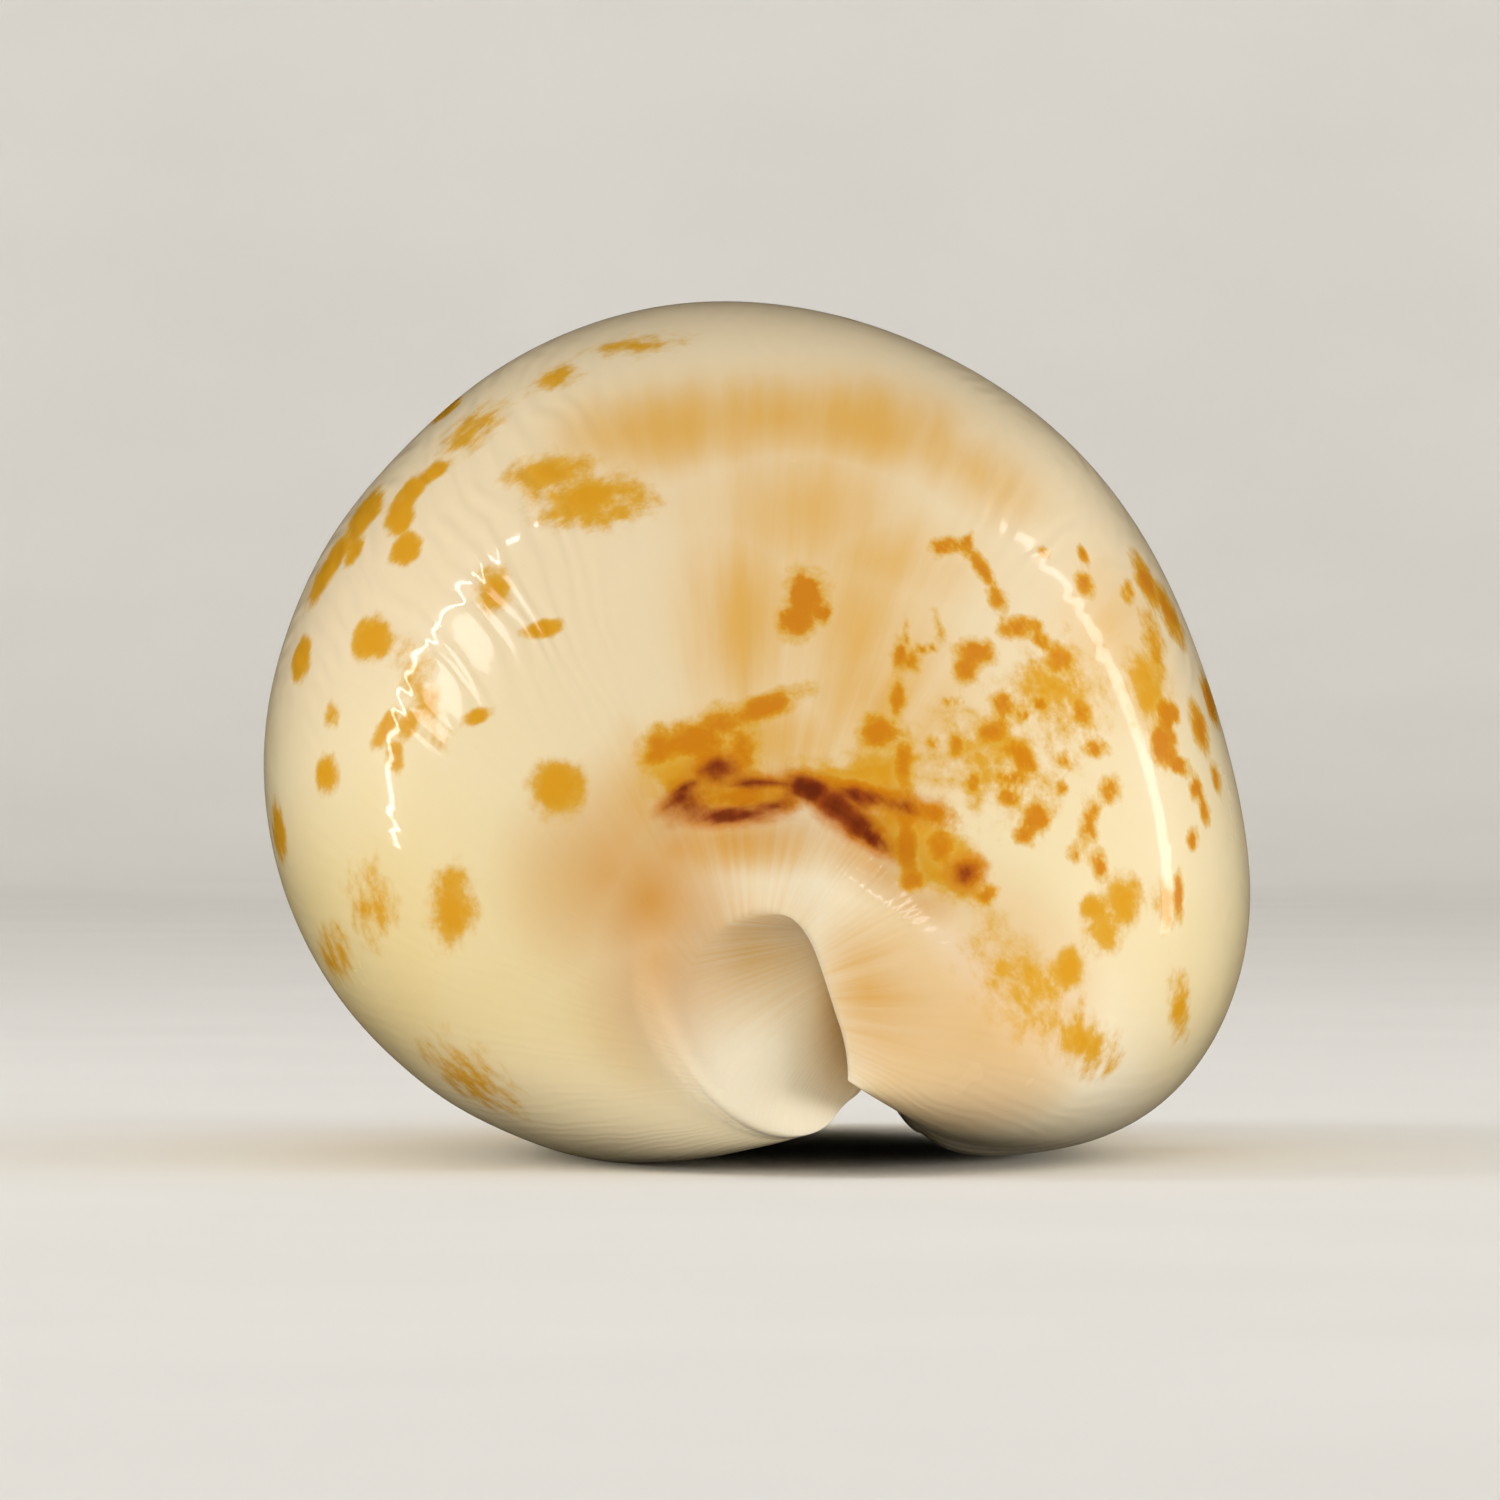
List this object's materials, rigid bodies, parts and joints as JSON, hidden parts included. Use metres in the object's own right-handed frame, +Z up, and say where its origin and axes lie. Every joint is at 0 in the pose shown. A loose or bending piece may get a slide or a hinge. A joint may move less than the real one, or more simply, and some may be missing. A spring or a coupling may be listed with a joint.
{
  "type": "cowrie shell",
  "caption": "Egg-shaped glossy cowrie shell with a narrow toothed slot along its base, resting on that base.",
  "frame": {"origin": "centre of the bounding box at the level that the shell rests on", "axes": "+Z up through the dome, +Y from the spire end to the front end, +X towards the outer lip"},
  "size_m": [0.0298, 0.0494, 0.0259],
  "materials": {
    "shell_gloss": "polished shell glaze, cream with soft ochre blotches"
  },
  "bodies": {
    "root": {"shell": "shell_gloss"}
  },
  "joints": []
}
